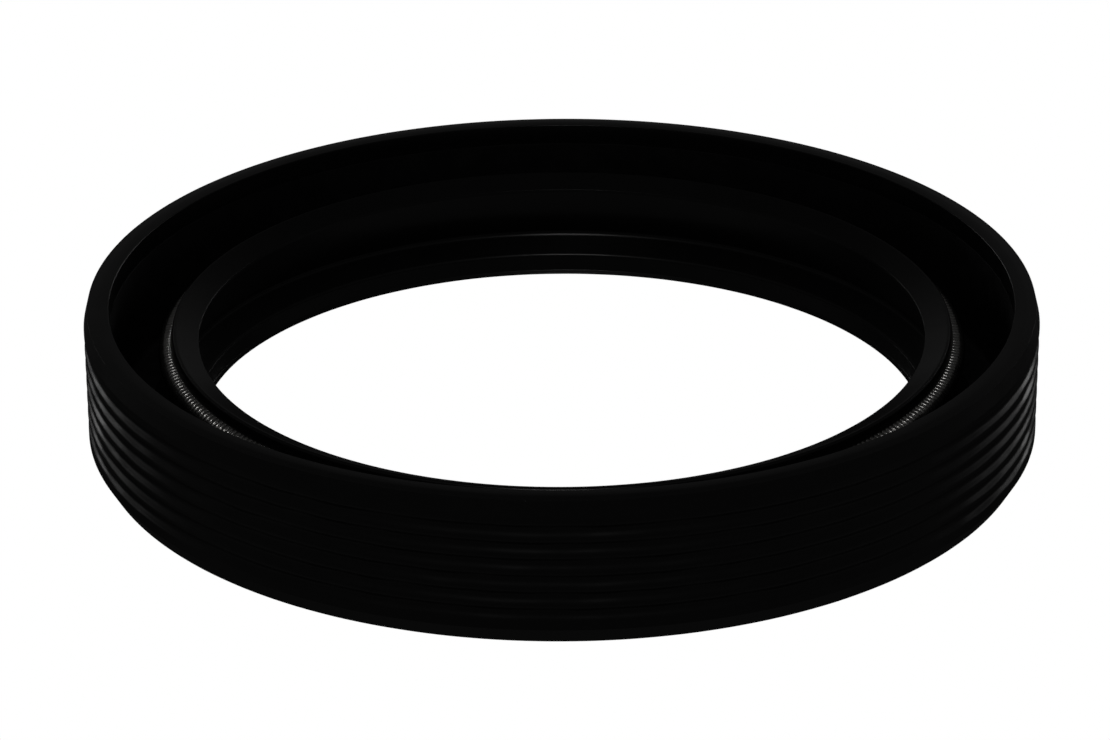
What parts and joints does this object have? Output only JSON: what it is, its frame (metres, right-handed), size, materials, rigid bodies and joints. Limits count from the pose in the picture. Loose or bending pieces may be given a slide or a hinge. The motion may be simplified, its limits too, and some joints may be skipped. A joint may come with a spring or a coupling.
{
  "type": "radial shaft seal",
  "caption": "Rotary shaft seal with a ribbed rubber outside over a pressed steel case, a spring loaded main lip and a dust lip, pressed into a housing bore.",
  "frame": {"origin": "centre of the air-side face, on the shaft's axis", "axes": "+Z along the shaft's axis towards the oil side, where the spring is"},
  "size_m": [0.045, 0.045, 0.007],
  "materials": {
    "rubber": "moulded black nitrile rubber, satin",
    "case_steel": "dark phosphated pressed steel",
    "spring_steel": "bright drawn spring wire"
  },
  "bodies": {
    "root": {"seal_body": "rubber", "case_ring": "case_steel", "garter_spring": "spring_steel"}
  },
  "joints": []
}
